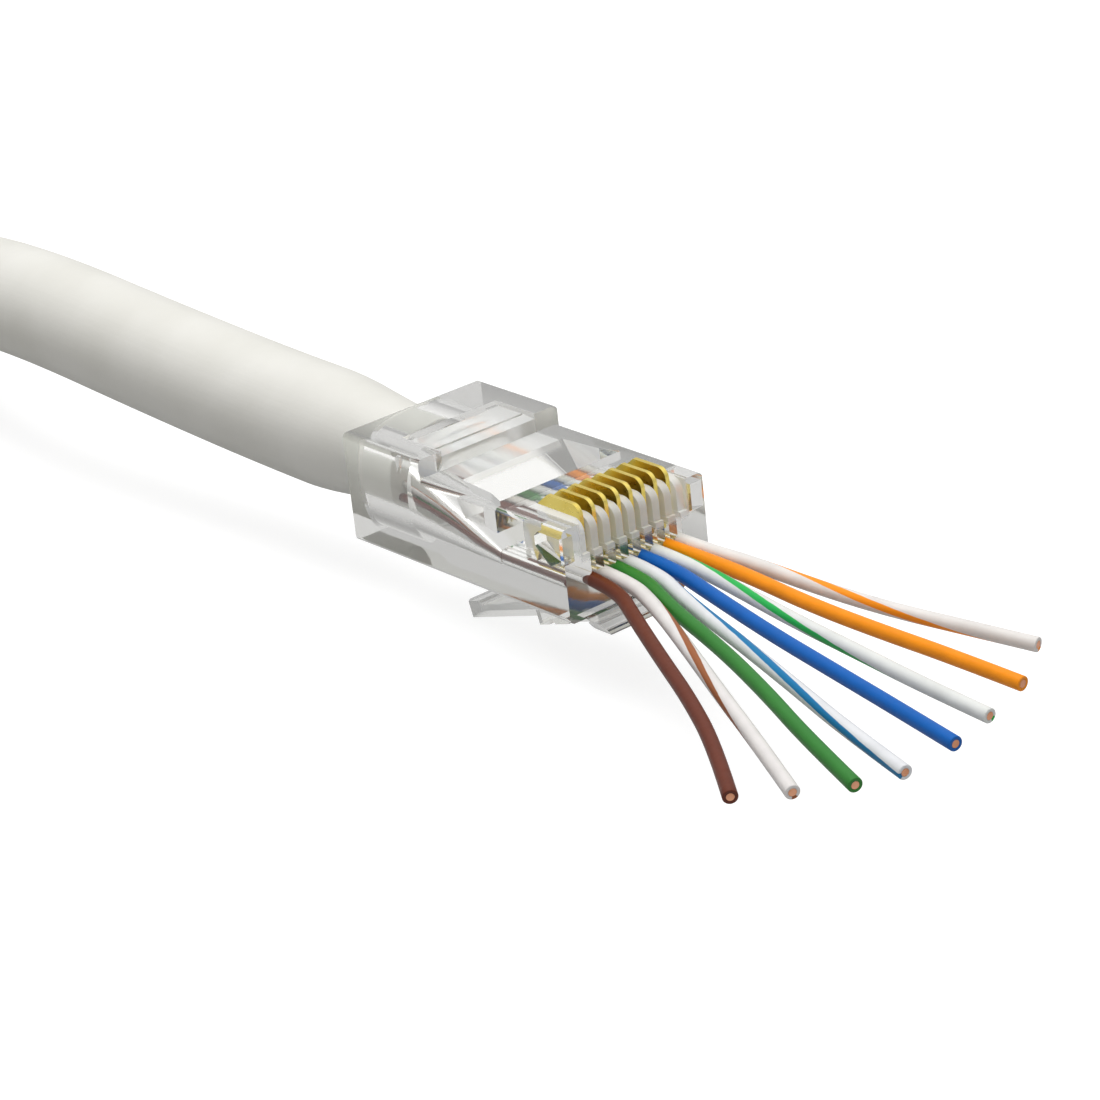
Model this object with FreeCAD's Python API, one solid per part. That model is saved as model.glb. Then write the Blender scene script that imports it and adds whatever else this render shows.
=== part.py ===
"""Pass-through 8-position modular plug on a round data cable, with its eight wires left long.

Millimetres. Each piece is first built with X = 0 at the rear face of the plug, Y = 0 at its middle and
Z = 0 at the underside of its body, then moved so that the origin is at the middle of the plug's footprint,
on the surface that the end of the latch stands on. +X points out of the nose, +Z to the contact side.
"""
import FreeCAD
import Part
import math
import os
from FreeCAD import Vector

# ---- body moulding ----
BODY_LENGTH = 21.8
BODY_WIDTH = 11.68
REAR_HEIGHT = 7.6
FRONT_HEIGHT = 6.3
REAR_BLOCK_LENGTH = 7.9
EDGE_RADIUS = 0.35
FIT_CLEARANCE = 0.05
BORE_LEAD_IN = 0.25
BORE_DEPTH = 5.2

# ---- cable and wires ----
JACKET_DIAMETER = 8.3
JACKET_SQUEEZE = 1.6
JACKET_HEIGHT = 3.8
JACKET_INSERTION = 3.2
SQUEEZE_LENGTH = 10.0
WIRE_DIAMETER = 0.94
CORE_DIAMETER = 0.53
WIRE_COUNT = 8
WIRE_PITCH = 1.02
WIRE_HEIGHT = 2.36
BUNDLE_PITCH = 0.68
BUNDLE_SPREAD = 1.2
BUNDLE_RUN = 4.4
ROW_START = 12.2
CHANNEL_DIAMETER = 1.06

# ---- wire funnel between the jacket and the row of channels ----
FUNNEL_WIDTH = 7.6
FUNNEL_SIDE_SPACE = 0.15
FUNNEL_HEIGHT = 5.0
FUNNEL_CORNER = 2.2
FUNNEL_END = 14.6

# ---- strain relief bar and its window, across the top of the rear block ----
BAR_WINDOW_START = 3.9
BAR_WINDOW_WIDTH = 7.8
BAR_DEPTH = 0.28
BAR_FRONT_DEPTH = 0.45
BAR_GAP = 0.4
BAR_GAP_WIDTH = 6.0
BAR_GROOVE_START = 6.6
BAR_GROOVE_WIDTH = 0.25
BAR_GROOVE_DEPTH = 0.6

# ---- open pocket over the wires ----
POCKET_START = 10.2
POCKET_END = 14.95
POCKET_BEND = 13.5
POCKET_REAR_WIDTH = 8.4
POCKET_BEND_WIDTH = 9.0
POCKET_FRONT_WIDTH = 10.0
POCKET_FLOOR = 4.3
POCKET_RAMP = 1.2

# ---- contact comb ----
COMB_LENGTH = 4.8
COMB_FLOOR = 4.2
COMB_SETBACK = 0.25
FIN_THICKNESS = 0.57
FIN_NOSE_RADIUS = 0.9
BLADE_SLOT_WIDTH = 0.38

# ---- contacts ----
BLADE_THICKNESS = 0.3
BLADE_LENGTH = 4.0
BLADE_REAR_GAP = 0.1
BLADE_CREST = 0.78
BLADE_CREST_RADIUS = 0.7
BLADE_CREST_LENGTH = 2.3
BLADE_FOOT = 0.12
BLADE_HEEL = 0.55
TINE_COUNT = 3
TINE_WIDTH = 0.7
TINE_POINT = 0.35
TINE_AIR = 0.2

# ---- side windows beside the comb ----
SIDE_WINDOW_DEPTH = 0.95
SIDE_WINDOW_REAR = 2.7
SIDE_WINDOW_FRONT = 0.3
SIDE_WINDOW_TOP = 5.7
SIDE_WINDOW_MID = 4.7
SIDE_WINDOW_BOTTOM = 3.6
SIDE_WINDOW_SLANT = 1.3

# ---- keel that carries the latch ----
KEEL_DEPTH = 1.95
KEEL_BOTTOM_WIDTH = 5.2
KEEL_WAIST_WIDTH = 6.8
KEEL_WAIST_DEPTH = 0.9
KEEL_TOP_WIDTH = 9.2
KEEL_EDGE_RADIUS = 0.3

# ---- latch lever ----
LATCH_ROOT_SETBACK = 1.8
LATCH_ROOT_DEPTH = 0.85
LATCH_THICKNESS = 0.84
LATCH_LENGTH = 15.1
LATCH_ANGLE = 16.7
LATCH_WIDE_LENGTH = 5.6
LATCH_WIDE_WIDTH = 6.1
LATCH_LEVER_WIDTH = 3.25
LATCH_PAD_LENGTH = 1.7
LATCH_PAD_HEIGHT = 0.3
LATCH_PAD_CORNER = 0.5
LOBE_DEPTH = 0.14
LOBE_FRONT_START = 2.1
LOBE_NOTCH_START = 3.65
LOBE_NOTCH_WIDTH = 0.6
LOBE_NOTCH_DEPTH = 0.2
SHOULDER_RADIUS = 0.3

# ---- free cable: centre points behind the plug, chosen by hand, then a flat coil of two turns ----
CABLE_ROUTE = [
    (-14.0, 0.0, 3.8),
    (-28.0, -0.8, 4.9),
    (-42.0, -1.7, 6.3),
    (-55.0, -0.4, 5.1),
    (-65.0, 1.3, 2.3),
    (-74.2, 1.4, -0.35),
]
COIL_MIDDLE_RADIUS = 41.5
COIL_TURNS_ACROSS = 2
COIL_ENTRY_X = -89.5
COIL_ENTRY_Y = 1.0
COIL_LEAD = 6.6
COIL_RIM_SHARE = 0.4
TIE_WIDTH = 5.0
TIE_THICKNESS = 0.6
TIE_ANGLE = 200.0
TIE_HEAD_LENGTH = 4.5
TIE_HEAD_HEIGHT = 2.6

# ---- loose wire ends beyond the nose: centre points after the straight row, from wire 1 to wire 8 ----
WIRE_TAILS = [
    [(27.7, 4.0, 2.3), (33.8, 4.1, 2.2), (39.2, 4.8, 2.0), (44.1, 6.0, 1.8), (48.7, 7.3, 1.5)],
    [(28.5, 2.6, 2.3), (35.0, 2.2, 2.1), (40.8, 2.4, 1.9), (46.2, 2.8, 1.7), (51.4, 3.1, 1.4)],
    [(28.8, 1.0, 2.3), (35.5, 0.1, 2.1), (41.6, -0.4, 1.9), (47.3, -0.8, 1.6), (52.6, -0.9, 1.3)],
    [(28.9, -0.6, 2.3), (35.7, -2.0, 2.1), (42.0, -3.0, 1.9), (47.9, -3.8, 1.6), (53.5, -4.6, 1.3)],
    [(28.8, -2.3, 2.3), (35.9, -4.1, 2.0), (42.0, -5.8, 1.8), (47.4, -7.2, 1.4), (53.3, -8.4, 1.0)],
    [(28.6, -3.4, 2.2), (35.1, -5.2, 2.0), (40.9, -7.1, 1.6), (46.2, -9.1, 1.2), (51.8, -10.8, 0.7)],
    [(28.1, -4.2, 2.5), (33.6, -6.6, 2.2), (39.2, -9.0, 1.6), (44.3, -11.1, 1.1), (49.4, -13.3, 0.5)],
    [(27.6, -5.4, 1.9), (32.7, -7.9, 1.7), (37.5, -10.1, 1.4), (42.3, -12.6, 0.9), (46.8, -15.6, 0.3)],
]
TAIL_START = 2.6
TAIL_START_STEP = 0.1
ARC_SHARE = 0.45

HALF_WIDTH = BODY_WIDTH / 2
ROOT_X = BODY_LENGTH - LATCH_ROOT_SETBACK
LATCH_TILT = math.radians(LATCH_ANGLE)
LATCH_DROP = (LATCH_ROOT_DEPTH + LATCH_LENGTH * math.sin(LATCH_TILT)
              + LATCH_THICKNESS / 2 * math.cos(LATCH_TILT))
COIL_HALF_WIDTH = COIL_TURNS_ACROSS * JACKET_DIAMETER / 2
COIL_CENTRE = Vector(COIL_ENTRY_X, COIL_ENTRY_Y + JACKET_DIAMETER / 2 - COIL_HALF_WIDTH - COIL_MIDDLE_RADIUS,
                     -LATCH_DROP)
BORE_DIAMETER = JACKET_DIAMETER - JACKET_SQUEEZE + 2 * FIT_CLEARANCE
COMB_START = BODY_LENGTH - COMB_LENGTH
OVERSIZE = 1.0
NEGLIGIBLE = 0.01
ROUND_END_SHARE = 0.48
ARC_MIDDLE = 1 - math.sqrt(0.5)


def box(x0, x1, y0, y1, z0, z1):
    return Part.makeBox(x1 - x0, y1 - y0, z1 - z0, Vector(x0, y0, z0))


def across(points, width):
    """Extrude an outline of (x, z) points over the given width, centred on the middle plane."""
    corners = [Vector(x, -width / 2, z) for x, z in points]
    return Part.Face(Part.makePolygon(corners + corners[:1])).extrude(Vector(0, width, 0))


def rounded_rectangle(x, width, height, z_middle, radius):
    """Closed wire of four straight edges and four arcs in the plane at x."""
    half_y = width / 2
    half_z = height / 2
    sides = []
    for sy, sz in ((1, 1), (-1, 1), (-1, -1), (1, -1)):
        centre = Vector(x, sy * (half_y - radius), z_middle + sz * (half_z - radius))
        out_y = Vector(x, sy * half_y, centre.z)
        out_z = Vector(x, centre.y, z_middle + sz * half_z)
        diagonal = centre + Vector(0, sy, sz).normalize() * radius
        start, end = (out_y, out_z) if sy * sz > 0 else (out_z, out_y)
        sides.append((start, diagonal, end))
    edges = []
    for i, (start, diagonal, end) in enumerate(sides):
        edges.append(Part.Arc(start, diagonal, end).toShape())
        edges.append(Part.LineSegment(end, sides[(i + 1) % len(sides)][0]).toShape())
    return Part.Wire(edges)


def tangent_path(points):
    """Straight runs joined by arcs, each as large as its two runs allow. Returns the wire and the radii."""
    nodes = [Vector(*p) for p in points]
    edges = []
    radii = []
    cursor = nodes[0]
    for before, corner, after in zip(nodes, nodes[1:], nodes[2:]):
        into = (corner - before).normalize()
        out = (after - corner).normalize()
        turn = into.getAngle(out)
        reach = ARC_SHARE * min((corner - before).Length, (after - corner).Length)
        radius = reach / math.tan(turn / 2)
        radii.append(radius)
        start = corner - into * reach
        end = corner + out * reach
        inward = (out - into).normalize()
        middle = corner + inward * (math.hypot(radius, reach) - radius)
        edges.append(Part.LineSegment(cursor, start).toShape())
        edges.append(Part.Arc(start, middle, end).toShape())
        cursor = end
    edges.append(Part.LineSegment(cursor, nodes[-1]).toShape())
    return Part.Wire(edges), radii


def tube(points, diameter):
    """Round solid along the tangent path through the points."""
    path, radii = tangent_path(points)
    heading = Vector(*points[1]) - Vector(*points[0])
    section = Part.Wire(Part.makeCircle(diameter / 2, Vector(*points[0]), heading))
    solid = path.makePipeShell([section], True, False)
    return solid, path.Length, min(radii)


def wire_row_y(index):
    """Sideways place of wire or contact number index + 1 in the row."""
    return WIRE_PITCH * ((WIRE_COUNT - 1) / 2 - index)


# ---- body ----
def body_blank():
    outline = [(0, 0), (BODY_LENGTH, 0), (BODY_LENGTH, FRONT_HEIGHT), (REAR_BLOCK_LENGTH, FRONT_HEIGHT),
               (REAR_BLOCK_LENGTH, REAR_HEIGHT), (0, REAR_HEIGHT)]
    blank = across(outline, BODY_WIDTH)
    lengthwise = [e for e in blank.Edges if e.BoundBox.YLength < NEGLIGIBLE and e.BoundBox.ZLength < NEGLIGIBLE]
    return blank.makeFillet(EDGE_RADIUS, lengthwise)


def cable_cavity():
    """Jacket bore, funnel and the row of wire channels, as one tool."""
    radius = BORE_DIAMETER / 2
    bore = Part.makeCylinder(radius, BORE_DEPTH + OVERSIZE, Vector(-OVERSIZE, 0, JACKET_HEIGHT),
                             Vector(1, 0, 0))
    lead_in = Part.makeCone(radius + BORE_LEAD_IN, radius, BORE_LEAD_IN, Vector(0, 0, JACKET_HEIGHT),
                            Vector(1, 0, 0))
    wide = rounded_rectangle(BORE_DEPTH, FUNNEL_WIDTH, FUNNEL_HEIGHT, JACKET_HEIGHT, FUNNEL_CORNER)
    row_width = WIRE_PITCH * (WIRE_COUNT - 1) + CHANNEL_DIAMETER + 2 * FUNNEL_SIDE_SPACE
    narrow = rounded_rectangle(FUNNEL_END, row_width, CHANNEL_DIAMETER, WIRE_HEIGHT,
                               CHANNEL_DIAMETER * ROUND_END_SHARE)
    funnel = Part.makeLoft([wide, narrow], True, True)
    channels = [Part.makeCylinder(CHANNEL_DIAMETER / 2, BODY_LENGTH - FUNNEL_END + 2 * OVERSIZE,
                                  Vector(FUNNEL_END - OVERSIZE, wire_row_y(i), WIRE_HEIGHT), Vector(1, 0, 0))
                for i in range(WIRE_COUNT)]
    return bore.multiFuse([lead_in, funnel] + channels)


def bar_window():
    """What is taken off the top of the rear block round the strain relief bar."""
    top = REAR_HEIGHT + OVERSIZE
    bar_start = BAR_WINDOW_START + BAR_GAP
    groove_end = BAR_GROOVE_START + BAR_GROOVE_WIDTH
    groove = REAR_HEIGHT - BAR_GROOVE_DEPTH
    outline = [(BAR_WINDOW_START, top), (BAR_WINDOW_START, REAR_HEIGHT - BAR_DEPTH),
               (BAR_GROOVE_START, REAR_HEIGHT - BAR_DEPTH), (BAR_GROOVE_START, groove), (groove_end, groove),
               (groove_end, REAR_HEIGHT - BAR_DEPTH),
               (REAR_BLOCK_LENGTH + OVERSIZE, REAR_HEIGHT - BAR_FRONT_DEPTH), (REAR_BLOCK_LENGTH + OVERSIZE, top)]
    recess = across(outline, BAR_WINDOW_WIDTH)
    gap = box(BAR_WINDOW_START, bar_start, -BAR_GAP_WIDTH / 2, BAR_GAP_WIDTH / 2, JACKET_HEIGHT, top)
    return recess.fuse(gap)


def wire_pocket():
    """Open pocket over the wires, wider towards the contacts, with a ramp at its rear."""
    plan = [(POCKET_START, POCKET_REAR_WIDTH / 2), (POCKET_BEND, POCKET_BEND_WIDTH / 2),
            (POCKET_END, POCKET_FRONT_WIDTH / 2)]
    corners = [Vector(x, y, POCKET_FLOOR) for x, y in plan] + [Vector(x, -y, POCKET_FLOOR) for x, y in plan[::-1]]
    pocket = Part.Face(Part.makePolygon(corners + corners[:1])).extrude(Vector(0, 0, FRONT_HEIGHT))
    ramp = across([(POCKET_START - OVERSIZE, POCKET_FLOOR - OVERSIZE), (POCKET_START + POCKET_RAMP, POCKET_FLOOR),
                   (POCKET_START, FRONT_HEIGHT), (POCKET_START - OVERSIZE, FRONT_HEIGHT)], BODY_WIDTH)
    return pocket.cut(ramp)


def comb_chamber():
    """Room for the comb, and below it one narrow slot over each wire channel for the contact's tines."""
    half = WIRE_PITCH * WIRE_COUNT / 2 + FIN_THICKNESS / 2
    tools = [box(COMB_START, BODY_LENGTH + OVERSIZE, -half, half, COMB_FLOOR, FRONT_HEIGHT + OVERSIZE)]
    for i in range(WIRE_COUNT):
        y = wire_row_y(i)
        tools.append(box(COMB_START, BODY_LENGTH + OVERSIZE, y - BLADE_SLOT_WIDTH / 2, y + BLADE_SLOT_WIDTH / 2,
                         WIRE_HEIGHT, COMB_FLOOR + OVERSIZE))
    return tools[0].multiFuse(tools[1:])


def comb_fins():
    """Upright fins between the contacts and outside the first and last, round at the top of the nose."""
    front = BODY_LENGTH - COMB_SETBACK
    radius = FIN_NOSE_RADIUS
    slope = radius * ARC_MIDDLE
    fins = []
    for i in range(WIRE_COUNT + 1):
        y = wire_row_y(i - 0.5) - FIN_THICKNESS / 2
        corners = [Vector(front, y, FRONT_HEIGHT - radius), Vector(front, y, COMB_FLOOR),
                   Vector(COMB_START, y, COMB_FLOOR), Vector(COMB_START, y, FRONT_HEIGHT),
                   Vector(front - radius, y, FRONT_HEIGHT)]
        edges = [Part.LineSegment(a, b).toShape() for a, b in zip(corners, corners[1:])]
        crest = Vector(front - slope, y, FRONT_HEIGHT - slope)
        edges.append(Part.Arc(corners[-1], crest, corners[0]).toShape())
        fins.append(Part.Face(Part.Wire(edges)).extrude(Vector(0, FIN_THICKNESS, 0)))
    return fins


def side_windows():
    """Five-sided hollow in each side wall beside the comb."""
    x0 = BODY_LENGTH - SIDE_WINDOW_REAR
    x1 = BODY_LENGTH - SIDE_WINDOW_FRONT
    outline = [(x0, SIDE_WINDOW_TOP - EDGE_RADIUS), (x0, SIDE_WINDOW_MID),
               (x0 + SIDE_WINDOW_SLANT, SIDE_WINDOW_BOTTOM), (x1, SIDE_WINDOW_BOTTOM + EDGE_RADIUS),
               (x1, SIDE_WINDOW_TOP), (x0 + EDGE_RADIUS, SIDE_WINDOW_TOP)]
    whole = across(outline, BODY_WIDTH + 2 * OVERSIZE)
    keep = BODY_WIDTH - 2 * SIDE_WINDOW_DEPTH
    return whole.cut(box(0, BODY_LENGTH, -keep / 2, keep / 2, 0, REAR_HEIGHT))


def keel():
    """Ridge below the nose, hollowed at its rear for the round root of the latch."""
    start = ROOT_X + FIT_CLEARANCE
    half_top, half_waist, half_bottom = KEEL_TOP_WIDTH / 2, KEEL_WAIST_WIDTH / 2, KEEL_BOTTOM_WIDTH / 2
    right = [(half_top, EDGE_RADIUS), (half_top, 0), (half_waist, -KEEL_WAIST_DEPTH), (half_bottom, -KEEL_DEPTH)]
    corners = [Vector(start, y, z) for y, z in right] + [Vector(start, -y, z) for y, z in right[::-1]]
    ridge = Part.Face(Part.makePolygon(corners + corners[:1])).extrude(Vector(BODY_LENGTH - start, 0, 0))
    bottom = [e for e in ridge.Edges if e.BoundBox.ZMax < NEGLIGIBLE - KEEL_DEPTH]
    ridge = ridge.makeFillet(KEEL_EDGE_RADIUS, bottom)
    seat = Part.makeCylinder(LATCH_THICKNESS / 2 + FIT_CLEARANCE, BODY_WIDTH,
                             Vector(ROOT_X, -HALF_WIDTH, -LATCH_ROOT_DEPTH), Vector(0, 1, 0))
    return ridge.cut(seat)


def plug_body():
    body = body_blank().cut([cable_cavity(), bar_window(), wire_pocket(), side_windows()])
    body = body.cut(comb_chamber()).multiFuse(comb_fins() + [keel()])
    return body.removeSplitter()


# ---- latch ----
def latch_profile():
    """Side outline of the lever in its own line, from the round root rearwards, as a closed wire."""
    half = LATCH_THICKNESS / 2
    lobe = -half - LOBE_DEPTH
    notch = -half + LOBE_NOTCH_DEPTH
    notch_end = LOBE_NOTCH_START + LOBE_NOTCH_WIDTH
    pad_start = LATCH_LENGTH - LATCH_PAD_LENGTH
    pad_top = half + LATCH_PAD_HEIGHT
    under = [(0, -half), (LOBE_FRONT_START, -half), (LOBE_FRONT_START + LOBE_DEPTH, lobe),
             (LOBE_NOTCH_START, lobe), (LOBE_NOTCH_START + LOBE_DEPTH, notch), (notch_end - LOBE_DEPTH, notch),
             (notch_end, lobe), (LATCH_WIDE_LENGTH, lobe), (LATCH_WIDE_LENGTH + LOBE_DEPTH, -half),
             (LATCH_LENGTH, -half)]
    upper = [(LATCH_LENGTH, pad_top), (pad_start, pad_top), (pad_start - LATCH_PAD_HEIGHT, half), (0, half)]
    corners = [Vector(-u, 0, v) for u, v in under + upper]
    edges = [Part.LineSegment(a, b).toShape() for a, b in zip(corners, corners[1:])]
    edges.append(Part.Arc(corners[-1], Vector(half, 0, 0), corners[0]).toShape())
    return Part.Wire(edges)


def latch_plan():
    """Top outline of the lever: wide at the root, with shoulders, then narrow to the finger pad."""
    wide, narrow = LATCH_WIDE_WIDTH / 2, LATCH_LEVER_WIDTH / 2
    right = [(LATCH_THICKNESS, wide), (-LATCH_WIDE_LENGTH + SHOULDER_RADIUS, wide),
             (-LATCH_WIDE_LENGTH, wide - SHOULDER_RADIUS), (-LATCH_WIDE_LENGTH, narrow + SHOULDER_RADIUS),
             (-LATCH_WIDE_LENGTH - SHOULDER_RADIUS, narrow), (-LATCH_LENGTH + LATCH_PAD_CORNER, narrow),
             (-LATCH_LENGTH, narrow - LATCH_PAD_CORNER)]
    corners = [Vector(x, y, -LATCH_LENGTH) for x, y in right + [(x, -y) for x, y in right[::-1]]]
    return Part.Face(Part.makePolygon(corners + corners[:1])).extrude(Vector(0, 0, 2 * LATCH_LENGTH))


def latch_lever():
    side = Part.Face(latch_profile()).extrude(Vector(0, LATCH_WIDE_WIDTH, 0))
    side.translate(Vector(0, -LATCH_WIDE_WIDTH / 2, 0))
    lever = side.common(latch_plan())
    lever.rotate(Vector(0, 0, 0), Vector(0, 1, 0), -LATCH_ANGLE)
    lever.translate(Vector(ROOT_X, 0, -LATCH_ROOT_DEPTH))
    return lever


# ---- contacts ----
def contact(index):
    """Gold blade, still raised above the deck, with its tines just clear of the wire below."""
    rear = COMB_START + BLADE_REAR_GAP
    front = rear + BLADE_LENGTH
    crest = FRONT_HEIGHT + BLADE_CREST
    heel = rear + BLADE_HEEL
    foot = COMB_FLOOR + BLADE_FOOT
    point = WIRE_HEIGHT + WIRE_DIAMETER / 2 + TINE_AIR
    step = (front - heel - TINE_WIDTH) / (TINE_COUNT - 1)
    outline = [(rear, FRONT_HEIGHT), (rear, FRONT_HEIGHT - BLADE_HEEL), (heel, foot)]
    for k in range(TINE_COUNT):
        x = heel + k * step
        outline += [(x, foot - TINE_POINT), (x + TINE_WIDTH / 2, point), (x + TINE_WIDTH, foot - TINE_POINT)]
        if k < TINE_COUNT - 1:
            outline += [(x + TINE_WIDTH, foot), (x + step, foot)]
    outline += [(front, crest - BLADE_CREST_RADIUS), (front - BLADE_CREST_RADIUS, crest)]
    y = wire_row_y(index) - BLADE_THICKNESS / 2
    crest_end = Vector(front - BLADE_CREST_RADIUS - BLADE_CREST_LENGTH, y, crest)
    corners = [Vector(x, y, z) for x, z in outline]
    edges = [Part.LineSegment(a, b).toShape() for a, b in zip(corners[:-1], corners[1:-1])]
    slope = BLADE_CREST_RADIUS * ARC_MIDDLE
    edges.append(Part.Arc(corners[-2], Vector(front - slope, y, crest - slope), corners[-1]).toShape())
    edges.append(Part.LineSegment(corners[-1], crest_end).toShape())
    edges.append(Part.LineSegment(crest_end, corners[0]).toShape())
    return Part.Face(Part.Wire(edges)).extrude(Vector(0, BLADE_THICKNESS, 0))


# ---- wires ----
def wire_points(index):
    """Centre points of one wire: out of the jacket, down into the row, along it and out of the nose."""
    y = wire_row_y(index)
    bundle_y = y * BUNDLE_PITCH / WIRE_PITCH
    bundle_z = JACKET_HEIGHT + BUNDLE_SPREAD / 2 * (1 if index % 2 == 0 else -1)
    return ([(JACKET_INSERTION, bundle_y, bundle_z), (JACKET_INSERTION + BUNDLE_RUN, bundle_y, bundle_z),
            (ROW_START, y, WIRE_HEIGHT), (BODY_LENGTH + TAIL_START - index * TAIL_START_STEP, y, WIRE_HEIGHT)]
            + WIRE_TAILS[index])


def wire_pieces(index):
    """Insulation and copper core of one wire, cut off flush at the tip."""
    points = wire_points(index)
    outer, length, radius = tube(points, WIRE_DIAMETER)
    core = tube(points, CORE_DIAMETER)[0]
    print(f"wire {index + 1}: length {length:.1f} least radius {radius:.1f}")
    return outer.cut(core), core


# ---- cable ----
def cable_points():
    """Centre points of the stretch that isn't coiled, from the cut end of the jacket to the coil."""
    lying = JACKET_DIAMETER / 2 - LATCH_DROP
    coil_lead = [(COIL_ENTRY_X + COIL_LEAD, COIL_ENTRY_Y, lying), (COIL_ENTRY_X, COIL_ENTRY_Y, lying)]
    return [(0.0, 0.0, JACKET_HEIGHT)] + CABLE_ROUTE + coil_lead


def cable_jacket():
    """Round jacket, squeezed a little where it is inside the plug."""
    inner = (JACKET_DIAMETER - JACKET_SQUEEZE) / 2
    outer = JACKET_DIAMETER / 2
    along = Vector(1, 0, 0)
    free, length, radius = tube([(-SQUEEZE_LENGTH, 0.0, JACKET_HEIGHT)] + cable_points()[1:], JACKET_DIAMETER)
    cone = Part.makeCone(outer, inner, SQUEEZE_LENGTH, Vector(-SQUEEZE_LENGTH, 0, JACKET_HEIGHT), along)
    plugged = Part.makeCylinder(inner, JACKET_INSERTION, Vector(0, 0, JACKET_HEIGHT), along)
    print(f"cable: free length {length:.1f} least radius {radius:.1f}")
    section = math.pi * outer ** 2
    print(f"cable: volume over section times length {free.Volume / (section * length):.4f}")
    return free.multiFuse([cone, plugged]).removeSplitter()


def coil_ring(half_width, z0, z1):
    outer = Part.makeCylinder(COIL_MIDDLE_RADIUS + half_width, z1 - z0, Vector(0, 0, z0))
    return outer.cut(Part.makeCylinder(COIL_MIDDLE_RADIUS - half_width, z1 - z0, Vector(0, 0, z0)))


def cable_coil():
    """Outer shape of the two turns that lie side by side, with room for the cable that comes in beside them."""
    ring = coil_ring(COIL_HALF_WIDTH, 0, JACKET_DIAMETER)
    rims = [e for e in ring.Edges if e.Length > COIL_MIDDLE_RADIUS]
    ring = ring.makeFillet(JACKET_DIAMETER * COIL_RIM_SHARE, rims)
    reach = COIL_MIDDLE_RADIUS + COIL_HALF_WIDTH + OVERSIZE
    ring = ring.cut(box(0, reach, COIL_MIDDLE_RADIUS, reach, -OVERSIZE, JACKET_DIAMETER + OVERSIZE))
    ring.translate(COIL_CENTRE)
    return ring


def coil_tie():
    """Strap round both turns of the coil, with its head on top."""
    half = COIL_HALF_WIDTH
    strap = box(COIL_MIDDLE_RADIUS - half - TIE_THICKNESS, COIL_MIDDLE_RADIUS + half + TIE_THICKNESS,
                -TIE_WIDTH / 2, TIE_WIDTH / 2, 0, JACKET_DIAMETER + TIE_THICKNESS)
    inside = box(COIL_MIDDLE_RADIUS - half, COIL_MIDDLE_RADIUS + half,
                 -TIE_WIDTH, TIE_WIDTH, TIE_THICKNESS, JACKET_DIAMETER)
    head = box(COIL_MIDDLE_RADIUS - TIE_HEAD_LENGTH / 2, COIL_MIDDLE_RADIUS + TIE_HEAD_LENGTH / 2,
               -TIE_WIDTH / 2, TIE_WIDTH / 2, JACKET_DIAMETER, JACKET_DIAMETER + TIE_HEAD_HEIGHT)
    tie = strap.cut(inside).fuse(head).removeSplitter()
    tie.rotate(Vector(0, 0, 0), Vector(0, 0, 1), TIE_ANGLE)
    tie.translate(COIL_CENTRE)
    return tie


def build():
    parts = {"plug_body": plug_body(), "latch_lever": latch_lever()}
    for i in range(WIRE_COUNT):
        parts[f"contact_{i + 1}"] = contact(i)
        parts[f"wire_{i + 1}_insulation"], parts[f"wire_{i + 1}_core"] = wire_pieces(i)
    parts["coil_tie"] = coil_tie()
    parts["cable_coil"] = cable_coil().cut(parts["coil_tie"])
    parts["cable_jacket"] = cable_jacket()
    return parts


def main():
    os.makedirs("parts", exist_ok=True)
    place = Vector(-BODY_LENGTH / 2, 0, LATCH_DROP)
    for name, shape in build().items():
        shape.translate(place)
        solids = shape.Solids
        print(f"{name}: solids {len(solids)} valid {shape.isValid()} volume {shape.Volume:.2f}")
        shape = solids[0] if len(solids) == 1 else Part.makeCompound(solids)
        shape.exportStep(f"parts/{name}.step")


main()
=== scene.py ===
import math

import bmesh
import bpy
from mathutils import Matrix, Vector


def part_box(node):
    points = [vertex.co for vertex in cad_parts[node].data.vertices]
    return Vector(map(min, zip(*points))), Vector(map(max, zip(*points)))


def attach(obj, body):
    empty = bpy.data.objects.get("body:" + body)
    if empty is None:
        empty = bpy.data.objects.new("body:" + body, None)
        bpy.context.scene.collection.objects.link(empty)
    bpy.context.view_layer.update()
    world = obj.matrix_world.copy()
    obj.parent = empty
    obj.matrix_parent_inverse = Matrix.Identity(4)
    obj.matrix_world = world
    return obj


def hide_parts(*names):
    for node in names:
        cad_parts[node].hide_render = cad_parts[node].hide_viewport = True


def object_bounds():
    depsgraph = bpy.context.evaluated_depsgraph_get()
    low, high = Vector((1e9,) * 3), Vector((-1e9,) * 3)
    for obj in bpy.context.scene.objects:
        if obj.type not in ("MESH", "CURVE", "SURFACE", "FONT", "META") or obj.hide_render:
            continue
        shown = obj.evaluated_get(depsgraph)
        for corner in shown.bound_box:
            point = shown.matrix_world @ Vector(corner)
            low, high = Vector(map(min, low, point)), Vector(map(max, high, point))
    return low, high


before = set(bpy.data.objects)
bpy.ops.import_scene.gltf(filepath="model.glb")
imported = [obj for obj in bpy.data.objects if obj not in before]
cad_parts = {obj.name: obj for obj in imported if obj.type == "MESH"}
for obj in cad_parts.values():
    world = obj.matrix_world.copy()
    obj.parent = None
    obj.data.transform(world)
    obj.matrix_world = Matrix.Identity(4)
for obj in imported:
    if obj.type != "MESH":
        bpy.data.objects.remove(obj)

cad_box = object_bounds()

MM = 0.001

# ---- plug, in millimetres from the rear face, middle and underside of its body ----
BODY_LENGTH = 21.8
REAR_HEIGHT = 7.6
BAR_START = 4.2
BAR_HALF_WIDTH = 3.95
BAR_UNDERSIDE = 6.0
BAR_FRONT_MARGIN = 0.5
POCKET_START = 10.2
COMB_START = 17.0
COMB_HALF_WIDTH = 4.5
COMB_FLOOR = 3.9
BEYOND_NOSE = 1

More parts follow.
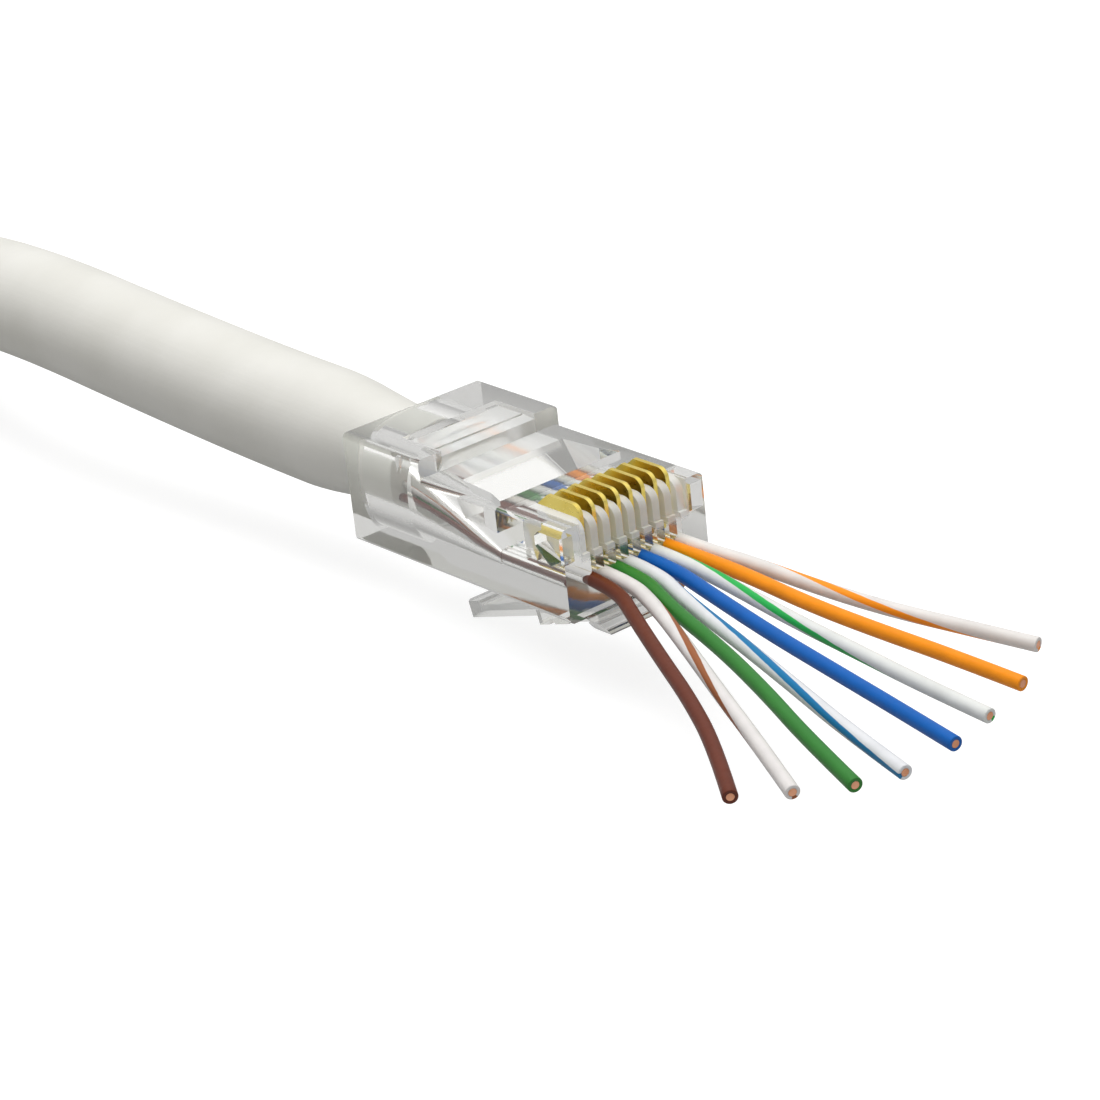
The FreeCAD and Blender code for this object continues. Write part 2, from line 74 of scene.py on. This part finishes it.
# ---- wires ----
WIRE_COUNT = 8
WIRE_DIAMETER = 0.94
CORE_DIAMETER = 0.53
CORE_PLAY = 0.985
WIRE_TIP_HOLLOW = 0.5
WIRE_PITCH = 1.02
WIRE_HEIGHT = 2.36
BUNDLE_PITCH = 0.68
BUNDLE_SPREAD = 1.2
BUNDLE_RUN = 4.4
ROW_START = 12.2
TAIL_START = 2.6
TAIL_START_STEP = 0.1

# loose wire ends beyond the nose: centre points after the straight row, from wire 1 to wire 8
WIRE_TAILS = [
    [(27.7, 4.0, 2.3), (33.8, 4.1, 2.2), (39.2, 4.8, 2.0), (44.1, 6.0, 1.8), (48.7, 7.3, 1.5)],
    [(28.5, 2.6, 2.3), (35.0, 2.2, 2.1), (40.8, 2.4, 1.9), (46.2, 2.8, 1.7), (51.4, 3.1, 1.4)],
    [(28.8, 1.0, 2.3), (35.5, 0.1, 2.1), (41.6, -0.4, 1.9), (47.3, -0.8, 1.6), (52.6, -0.9, 1.3)],
    [(28.9, -0.6, 2.3), (35.7, -2.0, 2.1), (42.0, -3.0, 1.9), (47.9, -3.8, 1.6), (53.5, -4.6, 1.3)],
    [(28.8, -2.3, 2.3), (35.9, -4.1, 2.0), (42.0, -5.8, 1.8), (47.4, -7.2, 1.4), (53.3, -8.4, 1.0)],
    [(28.6, -3.4, 2.2), (35.1, -5.2, 2.0), (40.9, -7.1, 1.6), (46.2, -9.1, 1.2), (51.8, -10.8, 0.7)],
    [(28.1, -4.2, 2.5), (33.6, -6.6, 2.2), (39.2, -9.0, 1.6), (44.3, -11.1, 1.1), (49.4, -13.3, 0.5)],
    [(27.6, -5.4, 1.9), (32.7, -7.9, 1.7), (37.5, -10.1, 1.4), (42.3, -12.6, 0.9), (46.8, -15.6, 0.3)],
]

# ---- cable and its coil, angles in degrees ----
JACKET_DIAMETER = 8.3
JACKET_SQUEEZE = 1.6
SQUEEZE_LENGTH = 10.0
JACKET_HEIGHT = 3.8
JACKET_INSERTION = 3.2
CABLE_ROUTE = [(-14.0, 0.0, 3.8), (-28.0, -0.8, 4.9), (-42.0, -1.7, 6.3), (-55.0, -0.4, 5.1),
               (-65.0, 1.3, 2.3), (-74.2, 1.4, -0.35)]
COIL_MIDDLE_RADIUS = 41.5
COIL_ENTRY_X = -89.5
COIL_ENTRY_Y = 1.0
COIL_LEAD = 6.6
COIL_POINT_STEP = 22.5
COIL_POINT_COUNT = 28
COIL_SHIFT_START = 372
COIL_SHIFT_TURN = 45

# ---- cut end of the cable, with the wires in four pairs, angles in degrees ----
CABLE_BORE = 6.9
CABLE_BORE_DEPTH = 2.5
PAIR_RING = 1.75
PAIR_FIRST_ANGLE = 45
PAIR_STEP = 90
PAIR_TURN = 70
STUB_ROOT_DEPTH = 0.5
STUB_LENGTH = 1.2
STUB_LENGTH_STEP = 0.35
STUB_TIP_HOLLOW = 0.4
STUB_SPANS = 6

# ---- rounded edge of a cut tube: share of its radius, at most so many millimetres, and where its middle ring is ----
TIP_EDGE_SHARE = 0.12
TIP_EDGE_LIMIT = 0.12
TIP_EDGE_MIDDLE = 0.3

# ---- looks: widths of the stripe in shares of a turn, the frosted zone's soft edges in millimetres ----
CLEAR_COLOUR = (0.94, 0.935, 0.915)
FROSTED_COLOUR = (0.96, 0.96, 0.94)
MIRRORED_RAY_TINT = (0.96, 0.96, 0.945, 1)
SHADOW_RAY_TINT = (0.80, 0.82, 0.82, 1)
CLEAR_TRANSMISSION = 0.97
FROSTED_LOSS = 0.52
FROSTED_ROUGHNESS = 0.36
BAR_FROST = 0.7
ZONE_BLUR = 0.1
ZONE_RISE = 0.3
POLYCARBONATE_IOR = 1.58
JACKET_COLOURS = (0.705, 0.695, 0.645), (0.755, 0.745, 0.70)
NYLON_COLOURS = (0.80, 0.79, 0.76), (0.86, 0.86, 0.84)
STRIPE_HALF_WIDTH = 0.075
STRIPE_EDGE = 0.09
STRIPE_WOBBLE = 0.02
SHADE_SHARE = 0.9

# wire number: insulation colour, stripe colour or None, turns of the stripe round the wire, where it starts, slot
WIRE_LOOKS = {
    1: ((0.80, 0.77, 0.74), (0.93, 0.30, 0.012), 1.64, 0.835, "wire_white_orange"),
    2: ((0.95, 0.30, 0.008), None, 0, 0, "wire_orange"),
    3: ((0.78, 0.79, 0.76), (0.02, 0.42, 0.08), 1.32, 0.442, "wire_white_green"),
    4: ((0.003, 0.115, 0.45), None, 0, 0, "wire_blue"),
    5: ((0.77, 0.78, 0.80), (0.006, 0.17, 0.38), 0.873, 0.327, "wire_white_blue"),
    6: ((0.032, 0.20, 0.030), None, 0, 0, "wire_green"),
    7: ((0.79, 0.76, 0.74), (0.30, 0.10, 0.035), 1.56, 0.766, "wire_white_brown"),
    8: ((0.125, 0.027, 0.012), None, 0, 0, "wire_brown"),
}

# ---- camera: angles in degrees, lengths in millimetres, the target in the plug's own coordinates ----
CAMERA_AZIMUTH = -37.83
CAMERA_ELEVATION = 23.30
CAMERA_ROLL = -6.31
CAMERA_DISTANCE = 230.0
CAMERA_TARGET = (19.143, -4.758, 4.0)
SENSOR_WIDTH = 36.0
LENS = 121.663636

# ---- floor, in millimetres, and brightness as the camera sees it and as it shows in and through the plastic ----
FLOOR_HALF = 3000.0
FLOOR_GAP = 0.1
FLOOR_GREY = 0.38
FLOOR_ROUGHNESS = 0.9
FLOOR_GLOW_DIRECT = 0.8
FLOOR_GLOW_IN_PLASTIC = 0.22
WORLD_LIGHT = 0.25
WORLD_DIRECT = 0.75
DOME_LOW = 0.12
DOME_RISE = 0.78
SOFT_BOX_LEVEL = 0.9
SOFT_BOX_EDGE = 0.93

body_low, body_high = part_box("plug_body")
REAR_X = body_low.x
UNDERSIDE = body_high.z - REAR_HEIGHT * MM
LYING_HEIGHT = -UNDERSIDE / MM + JACKET_DIAMETER / 2


def place(x, y, z):
    """Millimetres in the plug's own coordinates to metres in the frame."""
    return Vector((REAR_X + x * MM, y * MM, UNDERSIDE + z * MM))


def ease(share):
    """0 to 1 with a soft start and end, and level outside that range."""
    share = min(max(share, 0), 1)
    return share * share * (3 - 2 * share)


def directions(along):
    """Sideways and upward unit vectors of a thing that points along."""
    side = Vector((0, 0, 1)).cross(along).normalized()
    return side, along.cross(side)


# ---- node helpers ----
class Tree:
    """Adds and links nodes in the node tree of a material or a world."""

    def __init__(self, owner):
        owner.use_nodes = True
        self.nodes = owner.node_tree.nodes
        self.links = owner.node_tree.links

    def add(self, kind, inputs=None, **settings):
        node = self.nodes.new(kind)
        for key, value in settings.items():
            setattr(node, key, value)
        for key, value in (inputs or {}).items():
            self.put(node.inputs[key], value)
        return node

    def put(self, socket, value):
        if isinstance(value, bpy.types.NodeSocket):
            self.links.new(value, socket)
        else:
            socket.default_value = value

    def math(self, operation, *values):
        return self.add("ShaderNodeMath", dict(enumerate(values)), operation=operation).outputs[0]

    def ramp(self, value, low, high, out_low=0.0, out_high=1.0):
        inputs = {"Value": value, "From Min": low, "From Max": high, "To Min": out_low, "To Max": out_high}
        return self.add("ShaderNodeMapRange", inputs).outputs["Result"]

    def split(self, vector):
        return self.add("ShaderNodeSeparateXYZ", {0: vector}).outputs

    def coordinates(self, kind):
        return self.add("ShaderNodeTexCoord").outputs[kind]

    def mirrored_or_through(self, path):
        """1 for rays that come here off a shiny face or through the plastic, and 0 for others."""
        return self.math("MAXIMUM", path["Is Glossy Ray"], path["Is Transmission Ray"])


class Look(Tree):
    """Material made from its Principled shader."""

    def __init__(self, name):
        self.material = bpy.data.materials.new(name)
        super().__init__(self.material)
        self.shader = self.nodes["Principled BSDF"]
        self.output = self.nodes["Material Output"]

    def mix(self, factor, a, b):
        node = self.add("ShaderNodeMix", data_type="RGBA")
        self.put(node.inputs["Factor"], factor)
        self.put(node.inputs["A"], (*a, 1) if isinstance(a, tuple) else a)
        self.put(node.inputs["B"], (*b, 1) if isinstance(b, tuple) else b)
        return node.outputs["Result"]

    def noise(self, scale, detail=4.0, vector=None, stretch=None):
        if vector is None:
            vector = self.coordinates("Object")
        if stretch is not None:
            vector = self.add("ShaderNodeMapping", {"Vector": vector, "Scale": stretch}).outputs[0]
        inputs = {"Vector": vector, "Scale": scale, "Detail": detail}
        return self.add("ShaderNodeTexNoise", inputs).outputs["Fac"]

    def grain(self, scale, detail=4.0, spread=(0.3, 0.7), out=(0.0, 1.0), stretch=None):
        """Noise, with its values between the two of spread laid over the two of out."""
        return self.ramp(self.noise(scale, detail, stretch=stretch), *spread, *out)

    def bump(self, height, strength, distance):
        """distance in metres."""
        node = self.add("ShaderNodeBump", {"Height": height, "Strength": strength, "Distance": distance})
        self.put(self.shader.inputs["Normal"], node.outputs[0])

    def set(self, **inputs):
        for key, value in inputs.items():
            self.put(self.shader.inputs[key.replace("_", " ")], value)


# ---- materials ----
def clear_plastic(name):
    """Clear polycarbonate: polished outside, frosted in the comb and on the bar. Shadow rays, and rays that a
    surface has mirrored, pass straight through it, so the wires inside get the light they get in the real piece."""
    look = Look(name)
    where = look.split(look.coordinates("Object"))
    aside = look.math("ABSOLUTE", where[1])

    def blurred_step(value, at, low, high):
        return look.ramp(value, at - ZONE_BLUR * MM, at + ZONE_BLUR * MM, low, high)

    def zone(x0, x1, half_y, z0):
        """1 between two places along the plug, inside half_y and above z0, and 0 elsewhere."""
        inside = look.math("MULTIPLY", blurred_step(where[0], REAR_X + x0 * MM, 0.0, 1.0),
                           blurred_step(where[0], REAR_X + x1 * MM, 1.0, 0.0))
        inside = look.math("MULTIPLY", inside, blurred_step(aside, half_y * MM, 1.0, 0.0))
        above = look.ramp(where[2], UNDERSIDE + (z0 - ZONE_RISE) * MM, UNDERSIDE + z0 * MM)
        return look.math("MULTIPLY", inside, above)

    comb = zone(COMB_START, BODY_LENGTH + BEYOND_NOSE, COMB_HALF_WIDTH, COMB_FLOOR)
    bar = zone(BAR_START, POCKET_START + BAR_FRONT_MARGIN, BAR_HALF_WIDTH, BAR_UNDERSIDE)
    frosted = look.math("MAXIMUM", comb, look.math("MULTIPLY", bar, BAR_FROST))
    polish = look.grain(scale=900, spread=(0.3, 0.8), out=(0.03, 0.10))
    loss = look.math("MULTIPLY", frosted, FROSTED_LOSS)
    look.set(Base_Color=look.mix(frosted, CLEAR_COLOUR, FROSTED_COLOUR), IOR=POLYCARBONATE_IOR,
             Transmission_Weight=look.math("SUBTRACT", CLEAR_TRANSMISSION, loss),
             Roughness=look.math("MAXIMUM", polish, look.math("MULTIPLY", frosted, FROSTED_ROUGHNESS)))
    look.bump(look.noise(scale=420, detail=3.0), strength=0.25, distance=0.04 * MM)
    path = look.add("ShaderNodeLightPath").outputs
    surface = look.shader
    for ray, tint in (("Is Reflection Ray", MIRRORED_RAY_TINT), ("Is Shadow Ray", SHADOW_RAY_TINT)):
        clear = look.add("ShaderNodeBsdfTransparent", {"Color": tint})
        surface = look.add("ShaderNodeMixShader", {0: path[ray], 1: surface.outputs[0], 2: clear.outputs[0]})
    look.links.new(surface.outputs[0], look.output.inputs["Surface"])
    return look.material


def jacket_plastic(name):
    """Satin cable jacket with faint lines along its length, as it left the die."""
    look = Look(name)
    cloud = look.grain(scale=160, detail=3.0, spread=(0.35, 0.7))
    look.set(Base_Color=look.mix(cloud, *JACKET_COLOURS),
             Roughness=look.grain(scale=1400, detail=5.0, out=(0.42, 0.55)))
    along = look.add("ShaderNodeUVMap", uv_map="along").outputs[0]
    die_lines = look.noise(scale=1.0, detail=2.0, vector=along, stretch=(60, 4, 1))
    relief = look.math("ADD", die_lines, look.noise(scale=2600, detail=3.0))
    look.bump(relief, strength=0.18, distance=0.06 * MM)
    return look.material


def insulation(name, colour, stripe, turns, phase):
    """Satin insulation of one wire, with one stripe that winds round it where stripe is a colour."""
    look = Look(name)
    cloud = look.grain(scale=700, detail=3.0)
    base = look.mix(cloud, tuple(c * SHADE_SHARE for c in colour), colour)
    along = look.add("ShaderNodeUVMap", uv_map="along").outputs[0]
    if stripe:
        turn, share = look.split(along)[:2]
        unwound = look.math("SUBTRACT", turn, look.math("MULTIPLY", share, turns))
        around = look.math("PINGPONG", look.math("ADD", unwound, phase), 0.5)
        wobble = look.math("MULTIPLY", look.noise(scale=900, detail=2.0), STRIPE_WOBBLE)
        inside = look.ramp(look.math("ADD", around, wobble), STRIPE_HALF_WIDTH, STRIPE_EDGE, 1.0, 0.0)
        base = look.mix(inside, base, stripe)
    look.set(Base_Color=base, Specular_IOR_Level=0.3,
             Roughness=look.grain(scale=2500, out=(0.36, 0.48)))
    die_lines = look.noise(scale=1.0, detail=2.0, vector=along, stretch=(14, 40, 1))
    look.bump(die_lines, strength=0.12, distance=0.04 * MM)
    return look.material


def metal(name, colour, dark, roughness, stretch):
    """Plated or bare metal with brushed lines across the direction that stretch is large in."""
    look = Look(name)
    tarnish = look.grain(scale=600, spread=(0.35, 0.75))
    look.set(Base_Color=look.mix(tarnish, colour, dark), Metallic=1.0,
             Roughness=look.grain(scale=3000, detail=3.0, out=roughness, stretch=stretch))
    look.bump(look.noise(scale=5000, detail=2.0, stretch=stretch), strength=0.1, distance=0.02 * MM)
    return look.material


def nylon(name):
    """Natural nylon of the strap, with fine ridges in its surface."""
    look = Look(name)
    look.set(Base_Color=look.mix(look.grain(scale=300), *NYLON_COLOURS),
             Roughness=look.grain(scale=2000, out=(0.38, 0.5)))
    waves = {"Vector": look.coordinates("Object"), "Scale": 500.0, "Distortion": 0.3}
    ridges = look.add("ShaderNodeTexWave", waves).outputs["Fac"]
    look.bump(look.math("ADD", ridges, look.noise(scale=2200)), strength=0.25, distance=0.08 * MM)
    return look.material


def dress(node, material):
    mesh = bpy.data.objects[node].data
    mesh.materials.clear()
    mesh.materials.append(material)


# ---- tubes along smooth routes ----
def route_line(points):
    """Points along the NURBS spline that has the route's points as its control points."""
    curve = bpy.data.curves.new("route", "CURVE")
    curve.dimensions = "3D"
    spline = curve.splines.new("NURBS")
    spline.points.add(len(points) - 1)
    for point, co in zip(spline.points, points):
        point.co = (*co, 1.0)
    spline.order_u = 3
    spline.use_endpoint_u = True
    spline.resolution_u = 16
    holder = bpy.data.objects.new("route", curve)
    mesh = bpy.data.meshes.new_from_object(holder)
    line = [v.co.copy() for v in mesh.vertices]
    bpy.data.objects.remove(holder)
    bpy.data.curves.remove(curve)
    bpy.data.meshes.remove(mesh)
    return line


def cut_tip(rings, tangent, radius, bore):
    """Replace the last ring by the rounded edge of a cut end, and by a hollow inside it where bore is given."""
    edge = min(radius * TIP_EDGE_SHARE, TIP_EDGE_LIMIT * MM)
    centre, side, up, r, v = rings.pop()
    rings.append((centre - tangent * edge, side, up, r, v))
    rings.append((centre - tangent * edge * TIP_EDGE_MIDDLE, side, up, r - edge * TIP_EDGE_MIDDLE, v))
    rings.append((centre, side, up, r - edge, v))
    if bore:
        bore_radius, depth = bore
        rings.append((centre, side, up, bore_radius, v))
        rings.append((centre - tangent * depth, side, up, bore_radius, v))


def tube_mesh(name, line, radius, sides=32, bore=None):
    """Closed tube along the line, and its length. radius is a function of the length from its start; the UV map
    'along' holds the turn round the tube and the share of the length. bore is a hollow tip's radius and depth."""
    lengths = [0.0]
    for a, b in zip(line, line[1:]):
        lengths.append(lengths[-1] + (b - a).length)
    total = lengths[-1]
    last = len(line) - 1
    tangents = [(line[min(i + 1, last)] - line[max(i - 1, 0)]).normalized() for i in range(len(line))]
    side = directions(tangents[0])[0]
    rings = []
    for centre, tangent, length in zip(line, tangents, lengths):
        side = (side - tangent * side.dot(tangent)).normalized()
        rings.append((centre, side.copy(), tangent.cross(side), radius(length), length / total))
    cut_tip(rings, tangents[-1], radius(total), bore)
    bm = bmesh.new()
    layer = bm.loops.layers.uv.new("along")
    angles = [2 * math.pi * k / sides for k in range(sides)]
    loops = [[bm.verts.new(centre + side * math.cos(a) * r + up * math.sin(a) * r) for a in angles]
             for centre, side, up, r, v in rings]
    for i, (low, high) in enumerate(zip(loops, loops[1:])):
        for k in range(sides):
            n = (k + 1) % sides
            face = bm.faces.new((low[k], low[n], high[n], high[k]))
            face.smooth = True
            uvs = ((k, i), (k + 1, i), (k + 1, i + 1), (k, i + 1))
            for loop, (turn, j) in zip(face.loops, uvs):
                loop[layer].uv = (turn / sides, rings[j][4])
    for ring in (loops[0][::-1], loops[-1]):
        bm.faces.new(ring)
    bm.normal_update()
    mesh = bpy.data.meshes.new(name)
    bm.to_mesh(mesh)
    bm.free()
    obj = bpy.data.objects.new(name, mesh)
    bpy.context.scene.collection.objects.link(obj)
    return obj, total


# ---- wires ----
def row_y(index):
    return WIRE_PITCH * ((WIRE_COUNT - 1) / 2 - index)


def wire_points(index):
    """Control points of one wire: out of the jacket, down into the row, along it and out of the nose."""
    y = row_y(index)
    bundle_y = y * BUNDLE_PITCH / WIRE_PITCH
    bundle_z = JACKET_HEIGHT + BUNDLE_SPREAD / 2 * (1 if index % 2 == 0 else -1)
    points = [(JACKET_INSERTION, bundle_y, bundle_z), (JACKET_INSERTION + BUNDLE_RUN, bundle_y, bundle_z),
              (ROW_START, y, WIRE_HEIGHT), (BODY_LENGTH + TAIL_START - index * TAIL_START_STEP, y, WIRE_HEIGHT)]
    return [place(*p) for p in points + WIRE_TAILS[index]]


def cored_wire(names, line, material, tip_hollow, sides, core_sides):
    """Insulation with a hollow tip and the copper core inside it, and the wire's length."""
    wire, length = tube_mesh(names[0], line, lambda s: WIRE_DIAMETER / 2 * MM, sides,
                             bore=(CORE_DIAMETER / 2 * MM, tip_hollow * MM))
    core, _ = tube_mesh(names[1], line, lambda s: CORE_DIAMETER / 2 * MM * CORE_PLAY, core_sides)
    wire.data.materials.append(material)
    core.data.materials.append(COPPER)
    for piece in (wire, core):
        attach(piece, "plug")
    return wire, core, length


def make_wire(index):
    number = index + 1
    *paint, slot = WIRE_LOOKS[number]
    line = route_line(wire_points(index))
    wire, core, length = cored_wire((f"wire_{number}", f"wire_{number}_copper"), line,
                                    insulation(f"insulation_{number}", *paint),
                                    tip_hollow=WIRE_TIP_HOLLOW, sides=32, core_sides=20)
    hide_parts(f"wire_{number}_insulation")
    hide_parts(f"wire_{number}_core")


# ---- cable and its coil ----
def coil_points():
    """Control points of two turns side by side on the surface, the second inside the first. The spline touches
    the middle of each side of its control polygon, so the corners lie a little outside the turns."""
    outer = COIL_MIDDLE_RADIUS + JACKET_DIAMETER / 2
    inner = COIL_MIDDLE_RADIUS - JACKET_DIAMETER / 2
    centre_y = COIL_ENTRY_Y - outer
    corner_share = math.cos(math.radians(COIL_POINT_STEP / 2))
    points = []
    for k in range(1, COIL_POINT_COUNT + 1):
        angle = 90 + k * COIL_POINT_STEP
        inwards = ease((angle - COIL_SHIFT_START) / COIL_SHIFT_TURN)
        radius = (outer + (inner - outer) * inwards) / corner_share
        a = math.radians(angle)
        points.append((COIL_ENTRY_X + radius * math.cos(a), centre_y + radius * math.sin(a), LYING_HEIGHT))
    return points


def jacket_radius(s):
    """Radius in metres at the length s in metres: squeezed inside the plug and a little behind it, then full."""
    squeezed = (JACKET_DIAMETER - JACKET_SQUEEZE) / 2 * MM
    free = JACKET_DIAMETER / 2 * MM
    return squeezed + (free - squeezed) * ease((s / MM - JACKET_INSERTION) / SQUEEZE_LENGTH)


def make_cable():
    route = [(JACKET_INSERTION, 0.0, JACKET_HEIGHT), (0.0, 0.0, JACKET_HEIGHT)] + CABLE_ROUTE
    route += [(COIL_ENTRY_X + COIL_LEAD, COIL_ENTRY_Y, LYING_HEIGHT), (COIL_ENTRY_X, COIL_ENTRY_Y, LYING_HEIGHT)]
    line = route_line([place(*p) for p in route + coil_points()])
    cable, length = tube_mesh("cable", line, jacket_radius, sides=64,
                              bore=(CABLE_BORE / 2 * MM, CABLE_BORE_DEPTH * MM))
    cable.data.materials.append(jacket_plastic("jacket"))
    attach(cable, "plug")
    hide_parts("cable_jacket", "cable_coil")
    [bpy.data.objects["coil_tie"]] + wire_stubs(line)


def wire_stubs(line):
    """The eight wires, in four pairs, cut off unevenly just beyond the far end of the jacket."""
    end = line[-1]
    along = (end - line[-4]).normalized()
    side, up = directions(along)
    stubs = []
    for index in range(WIRE_COUNT):
        pair, half = divmod(index, 2)
        a = math.radians(PAIR_FIRST_ANGLE + PAIR_STEP * pair)
        b = a + math.radians(PAIR_TURN) + math.pi * half
        across = side * (math.cos(a) * PAIR_RING + math.cos(b) * WIRE_DIAMETER / 2)
        across += up * (math.sin(a) * PAIR_RING + math.sin(b) * WIRE_DIAMETER / 2)
        reach = STUB_LENGTH + STUB_LENGTH_STEP * ((index * 3) % 4)
        start = end + across * MM - along * (CABLE_BORE_DEPTH + STUB_ROOT_DEPTH) * MM
        tip = end + across * MM + along * reach * MM
        steps = [start.lerp(tip, k / STUB_SPANS) for k in range(STUB_SPANS + 1)]
        number = index + 1
        stubs += cored_wire((f"cable_wire_{number}", f"cable_core_{number}"), steps,
                            bpy.data.materials[f"insulation_{number}"],
                            tip_hollow=STUB_TIP_HOLLOW, sides=24, core_sides=16)[:2]
    return stubs


# ---- camera, light and stage ----
def make_camera():
    azimuth, elevation, roll = (math.radians(a) for a in (CAMERA_AZIMUTH, CAMERA_ELEVATION, CAMERA_ROLL))
    back = Vector((math.cos(elevation) * math.cos(azimuth), math.cos(elevation) * math.sin(azimuth),
                   math.sin(elevation)))
    right, up = directions(back)
    x = right * math.cos(roll) + up * math.sin(roll)
    y = up * math.cos(roll) - right * math.sin(roll)
    data = bpy.data.cameras.new("camera")
    data.sensor_width = SENSOR_WIDTH
    data.lens = LENS
    data.clip_start = 0.005
    data.clip_end = 20
    camera = bpy.data.objects.new("camera", data)
    matrix = Matrix((x, y, back)).transposed().to_4x4()
    matrix.translation = place(*CAMERA_TARGET) + back * CAMERA_DISTANCE * MM
    camera.matrix_world = matrix
    bpy.context.scene.collection.objects.link(camera)
    bpy.context.scene.camera = camera


def area_light(name, location, side, watts):
    """Square lamp that points at the origin, its location and side in metres. The plastic doesn't show it: it
    shows the world's soft box instead."""
    data = bpy.data.lights.new(name, "AREA")
    data.shape = "RECTANGLE"
    data.size = data.size_y = side
    data.energy = watts
    lamp = bpy.data.objects.new(name, data)
    lamp.location = location
    lamp.rotation_euler = (-Vector(location)).to_track_quat("-Z", "Y").to_euler()
    lamp.visible_glossy = False
    lamp.visible_transmission = False
    bpy.context.scene.collection.objects.link(lamp)


def make_floor():
    mesh = bpy.data.meshes.new("floor")
    half = FLOOR_HALF * MM
    mesh.from_pydata([(-half, -half, 0), (half, -half, 0), (half, half, 0), (-half, half, 0)], [], [(0, 1, 2, 3)])
    floor = bpy.data.objects.new("floor", mesh)
    floor.location.z = cad_box[0].z - FLOOR_GAP * MM
    bpy.context.scene.collection.objects.link(floor)
    look = Look("floor")
    look.set(Base_Color=(FLOOR_GREY, FLOOR_GREY, FLOOR_GREY, 1), Roughness=FLOOR_ROUGHNESS)
    path = look.add("ShaderNodeLightPath").outputs
    in_plastic = look.math("MULTIPLY", look.mirrored_or_through(path), FLOOR_GLOW_IN_PLASTIC)
    glow = look.math("ADD", look.math("MULTIPLY", path["Is Camera Ray"], FLOOR_GLOW_DIRECT), in_plastic)
    look.set(Emission_Color=(1, 1, 1, 1), Emission_Strength=glow)
    floor.data.materials.append(look.material)


def make_world():
    """White surroundings. The plastic mirrors a dome that is dim at the horizon, with a soft box overhead."""
    world = bpy.data.worlds.new("world")
    bpy.context.scene.world = world
    tree = Tree(world)
    background = tree.nodes["Background"]
    path = tree.add("ShaderNodeLightPath").outputs
    height = tree.split(tree.coordinates("Generated"))["Z"]
    overhead = tree.math("GREATER_THAN", height, SOFT_BOX_EDGE)
    soft_box = tree.math("MULTIPLY", overhead, SOFT_BOX_LEVEL)
    dome = tree.math("ADD", tree.math("MULTIPLY_ADD", height, DOME_RISE, DOME_LOW), soft_box)
    in_plastic = tree.math("MULTIPLY", tree.mirrored_or_through(path), dome)
    direct = tree.math("MULTIPLY_ADD", path["Is Camera Ray"], WORLD_DIRECT, WORLD_LIGHT)
    tree.put(background.inputs["Color"], (1, 1, 1, 1))
    tree.put(background.inputs["Strength"], tree.math("ADD", direct, in_plastic))


bpy.context.scene.view_settings.view_transform = "Standard"
COPPER = metal("copper", colour=(0.83, 0.42, 0.26), dark=(0.55, 0.24, 0.13), roughness=(0.25, 0.45),
               stretch=(1, 1, 1))
GOLD = metal("gold", colour=(0.98, 0.80, 0.22), dark=(0.86, 0.66, 0.13), roughness=(0.22, 0.40),
             stretch=(0.3, 6, 1))
CLEAR = clear_plastic("clear_plastic")

dress("plug_body", CLEAR)
dress("latch_lever", CLEAR)
dress("coil_tie", nylon("nylon"))
for index in range(WIRE_COUNT):
    dress(f"contact_{index + 1}", GOLD)
    make_wire(index)
make_cable()
make_camera()
make_floor()
make_world()
area_light("key", location=(-0.16, 0.06, 0.86), side=0.7, watts=8.0)
area_light("fill", location=(0.8, -0.5, 0.45), side=0.6, watts=2.2)
